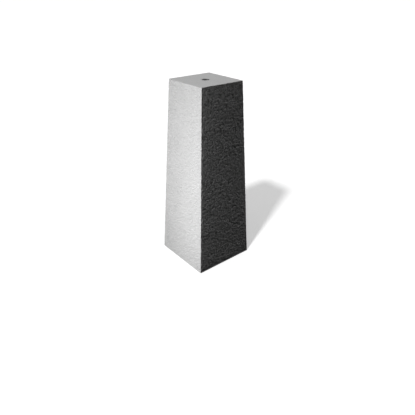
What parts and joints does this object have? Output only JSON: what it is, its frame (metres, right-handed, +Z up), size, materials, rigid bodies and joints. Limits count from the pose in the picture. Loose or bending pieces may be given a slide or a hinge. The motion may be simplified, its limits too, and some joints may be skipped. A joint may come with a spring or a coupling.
{
  "type": "concrete post base",
  "caption": "Tapered square cast concrete post base, stood on its wide end, with a threaded steel socket in the middle of its top for a post support.",
  "frame": {"origin": "centre of the underside, on the ground plane", "axes": "+Z up through the socket's axis; the four sides face along X and Y. The picture's light side is the -X side and its dark side is the -Y side"},
  "size_m": [0.1798, 0.1798, 0.5],
  "materials": {
    "cast_concrete": "neutral grey cast concrete, matt, fine pebbled skin on the sides and a smoother top",
    "socket_steel": "dull dark steel, turned and threaded"
  },
  "bodies": {
    "root": {"concrete_body": "cast_concrete", "threaded_socket": "socket_steel"}
  },
  "joints": []
}
